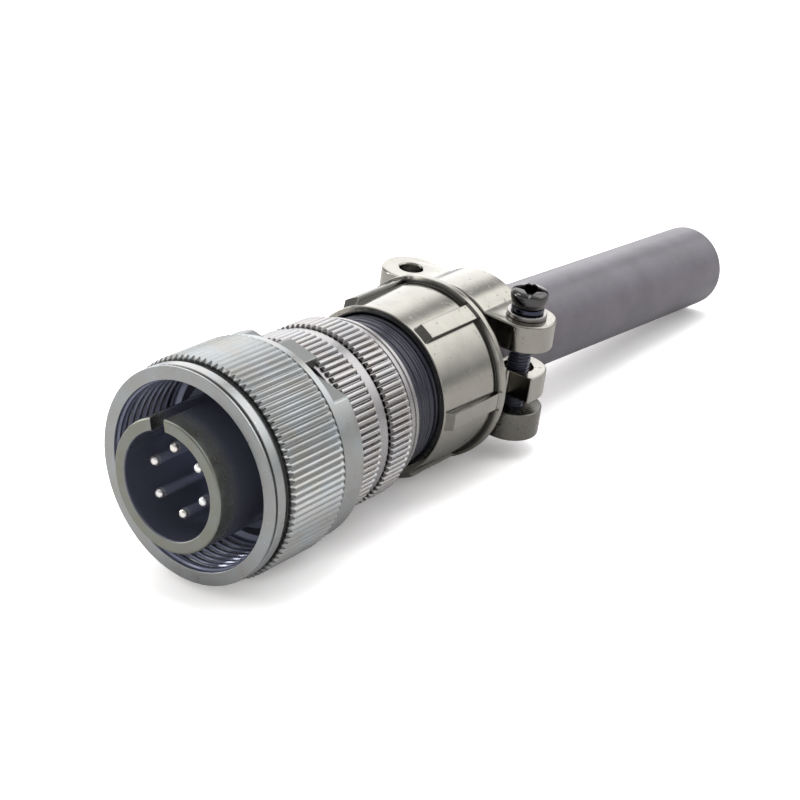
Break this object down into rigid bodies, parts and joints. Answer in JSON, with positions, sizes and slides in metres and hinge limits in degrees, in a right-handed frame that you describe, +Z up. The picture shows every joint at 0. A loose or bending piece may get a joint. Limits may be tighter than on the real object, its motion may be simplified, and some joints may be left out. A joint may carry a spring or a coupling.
{
  "type": "circular cable plug connector",
  "caption": "Straight circular cable plug with pin contacts, knurled coupling nut, screwed back shell, saddle cable clamp and rubber cable sleeve.",
  "frame": {"origin": "centre of the coupling nut's front face, on the connector's axis", "axes": "-Y points out of the mating end, +Y towards the cable, +Z up, +X to the right seen from the mating end"},
  "size_m": [0.0371, 0.1505, 0.0346],
  "materials": {
    "shell_metal": "olive grey plated and lacquered, semi-gloss",
    "nut_metal": "grey plated, semi-gloss, straight knurled",
    "clamp_metal": "bright die-cast and plated, small cast marks",
    "dark_metal": "dark nickel, glossy",
    "ring_steel": "spring steel",
    "contact_metal": "bright silver plated",
    "insert_plastic": "moulded, near black with a blue cast",
    "sleeve_rubber": "matt soft rubber"
  },
  "bodies": {
    "plug_body": {"nut_retaining_ring": "ring_steel", "front_shell": "shell_metal", "front_insert": "insert_plastic", "rear_insert": "insert_plastic", "insert_retaining_ring": "ring_steel", "contact_pin_a": "contact_metal", "contact_pin_b": "contact_metal", "contact_pin_c": "contact_metal", "contact_pin_d": "contact_metal", "contact_pin_e": "contact_metal", "contact_pin_f": "contact_metal", "back_shell": "shell_metal", "clamp_body": "clamp_metal", "rubber_sleeve": "sleeve_rubber"},
    "coupling_nut": {"coupling_nut": "nut_metal"},
    "upper_clamp": {"upper_saddle": "clamp_metal", "right_flat_washer": "dark_metal", "right_spring_washer": "dark_metal"},
    "lower_clamp": {"lower_saddle": "clamp_metal", "left_flat_washer": "dark_metal", "left_spring_washer": "dark_metal"},
    "right_screw": {"right_screw": "dark_metal"},
    "left_screw": {"left_screw": "dark_metal"}
  },
  "joints": [
    {"name": "coupling_nut_turn", "type": "hinge", "parent": "plug_body", "child": "coupling_nut", "pos_m": [0, 0.01, 0], "axis": [0, 1, 0], "continuous": true},
    {"name": "upper_saddle_slide", "type": "slide", "parent": "plug_body", "child": "upper_clamp", "axis": [0.165, 0, 0.9863], "range_m": [-0.001, 0.0015]},
    {"name": "lower_saddle_slide", "type": "slide", "parent": "plug_body", "child": "lower_clamp", "axis": [-0.165, 0, -0.9863], "range_m": [-0.00013, 0.00019]},
    {"name": "right_screw_turn", "type": "hinge", "parent": "upper_clamp", "child": "right_screw", "pos_m": [0.01184, 0.0672, -0.00198], "axis": [0.165, 0, 0.9863], "range_deg": [-673, 1009]},
    {"name": "left_screw_turn", "type": "hinge", "parent": "lower_clamp", "child": "left_screw", "pos_m": [-0.01184, 0.0672, 0.00198], "axis": [-0.165, 0, -0.9863], "range_deg": [-673, 1009]}
  ],
  "couplings": [
    {"joint": "lower_saddle_slide", "follows": "upper_saddle_slide", "ratio": 0.12},
    {"joint": "right_screw_turn", "follows": "upper_saddle_slide", "rad_per_m": 11729},
    {"joint": "left_screw_turn", "follows": "upper_saddle_slide", "rad_per_m": 11729}
  ]
}
